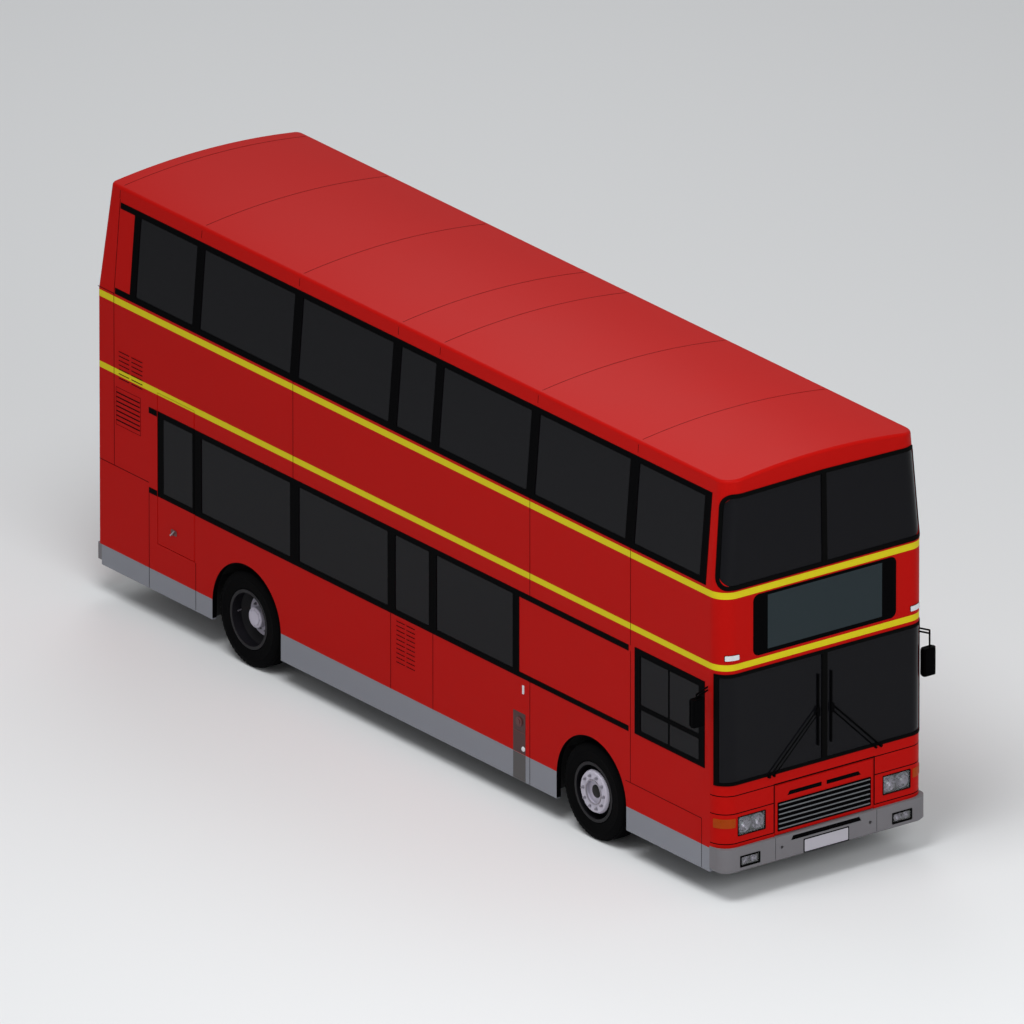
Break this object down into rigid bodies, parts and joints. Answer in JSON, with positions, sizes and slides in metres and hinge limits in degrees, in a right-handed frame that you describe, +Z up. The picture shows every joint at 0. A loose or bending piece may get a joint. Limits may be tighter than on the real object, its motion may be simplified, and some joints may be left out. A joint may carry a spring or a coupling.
{
  "type": "double deck city bus",
  "caption": "Full-size two-axle double deck bus with a hollow two-floor cabin, stairs, seats, steering front wheels, twin rear wheels, inward-opening entrance doors, hatches and flaps.",
  "frame": {"origin": "on the ground under the middle of the whole bus", "axes": "+X towards the front, +Y to the nearside (left), +Z up"},
  "size_m": [10.255, 2.96, 4.4449],
  "materials": {
    "red_paint": "satin",
    "grey_paint": "satin",
    "tinted_glass": "dark tint",
    "black_trim": "matt",
    "lamp_lens": "clear",
    "floor_covering": "ribbed",
    "seat_fabric": "moquette",
    "black_chassis": "satin",
    "engine_iron": "rough",
    "wheel_silver": "satin",
    "tyre_rubber": "matt"
  },
  "bodies": {
    "bus_body": {"roof": "red_paint", "upper_side_panels": "red_paint", "lower_side_panels": "red_paint", "front_upper_panel": "red_paint", "front_lower_panel": "red_paint", "rear_upper_panel": "red_paint", "rear_lower_panel": "red_paint", "skirt_panels": "grey_paint", "bumpers": "grey_paint", "side_windows": "tinted_glass", "windscreens": "tinted_glass", "destination_box": "black_trim", "mirrors": "black_trim", "wipers": "black_trim", "dashboard": "black_trim", "lamps": "lamp_lens", "lower_deck_floor": "floor_covering", "upper_deck_floor": "floor_covering", "staircase": "floor_covering", "seats": "seat_fabric", "chassis_frame": "black_chassis", "front_axle": "black_chassis", "rear_axle": "black_chassis", "fuel_tank": "black_chassis", "wheel_boxes": "black_chassis", "engine_block": "engine_iron"},
    "front_wheel_left_body": {"front_wheel_left": "wheel_silver", "front_tyre_left": "tyre_rubber"},
    "front_wheel_right_body": {"front_wheel_right": "wheel_silver", "front_tyre_right": "tyre_rubber"},
    "rear_wheel_left_body": {"rear_wheel_left": "wheel_silver", "rear_tyres_left": "tyre_rubber"},
    "rear_wheel_right_body": {"rear_wheel_right": "wheel_silver", "rear_tyres_right": "tyre_rubber"},
    "steering_left_body": {"knuckle_left": "black_chassis"},
    "steering_right_body": {"knuckle_right": "black_chassis"},
    "rear_door_leaf_body": {"rear_door_leaf": "black_trim", "rear_door_glass": "tinted_glass"},
    "front_door_leaf_body": {"front_door_leaf": "black_trim", "front_door_glass": "tinted_glass"},
    "emergency_door_body": {"emergency_door": "red_paint", "emergency_door_glass": "tinted_glass"},
    "rear_exit_body": {"rear_emergency_window": "tinted_glass"},
    "engine_door_body": {"engine_door": "red_paint"},
    "grille_flap_body": {"grille_flap": "red_paint"}
  },
  "joints": [
    {"name": "steer_left", "type": "hinge", "parent": "bus_body", "child": "steering_left_body", "pos_m": [2.9925, 0.95, 0.5], "axis": [0, 0, 1], "range_deg": [-40, 40]},
    {"name": "steer_right", "type": "hinge", "parent": "bus_body", "child": "steering_right_body", "pos_m": [2.9925, -0.95, 0.5], "axis": [0, 0, 1], "range_deg": [-40, 40]},
    {"name": "front_wheel_spin_left", "type": "hinge", "parent": "steering_left_body", "child": "front_wheel_left_body", "pos_m": [2.9925, 1.095, 0.5], "axis": [0, 1, 0], "continuous": true},
    {"name": "front_wheel_spin_right", "type": "hinge", "parent": "steering_right_body", "child": "front_wheel_right_body", "pos_m": [2.9925, -1.095, 0.5], "axis": [0, 1, 0], "continuous": true},
    {"name": "rear_wheel_spin_left", "type": "hinge", "parent": "bus_body", "child": "rear_wheel_left_body", "pos_m": [-2.6475, 0.95, 0.5], "axis": [0, 1, 0], "continuous": true},
    {"name": "rear_wheel_spin_right", "type": "hinge", "parent": "bus_body", "child": "rear_wheel_right_body", "pos_m": [-2.6475, -0.95, 0.5], "axis": [0, 1, 0], "continuous": true},
    {"name": "rear_leaf_hinge", "type": "hinge", "parent": "bus_body", "child": "rear_door_leaf_body", "pos_m": [3.7985, 1.225, 1.3], "axis": [0, 0, -1], "range_deg": [0, 88]},
    {"name": "front_leaf_hinge", "type": "hinge", "parent": "bus_body", "child": "front_door_leaf_body", "pos_m": [4.8465, 1.225, 1.3], "axis": [0, 0, 1], "range_deg": [0, 88]},
    {"name": "emergency_door_hinge", "type": "hinge", "parent": "bus_body", "child": "emergency_door_body", "pos_m": [-3.5255, -1.225, 1.6], "axis": [0, 0, 1], "range_deg": [0, 95]},
    {"name": "rear_exit_hinge", "type": "hinge", "parent": "bus_body", "child": "rear_exit_body", "pos_m": [-5.02498, 0, 4.05494], "axis": [0, 1, 0], "range_deg": [0, 60]},
    {"name": "engine_door_hinge", "type": "hinge", "parent": "bus_body", "child": "engine_door_body", "pos_m": [-5.0805, 0, 1.359], "axis": [0, 1, 0], "range_deg": [0, 80]},
    {"name": "grille_flap_hinge", "type": "hinge", "parent": "bus_body", "child": "grille_flap_body", "pos_m": [5.0755, 0, 1.078], "axis": [0, -1, 0], "range_deg": [0, 80]}
  ],
  "couplings": [
    {"joint": "steer_right", "follows": "steer_left", "ratio": 1}
  ]
}
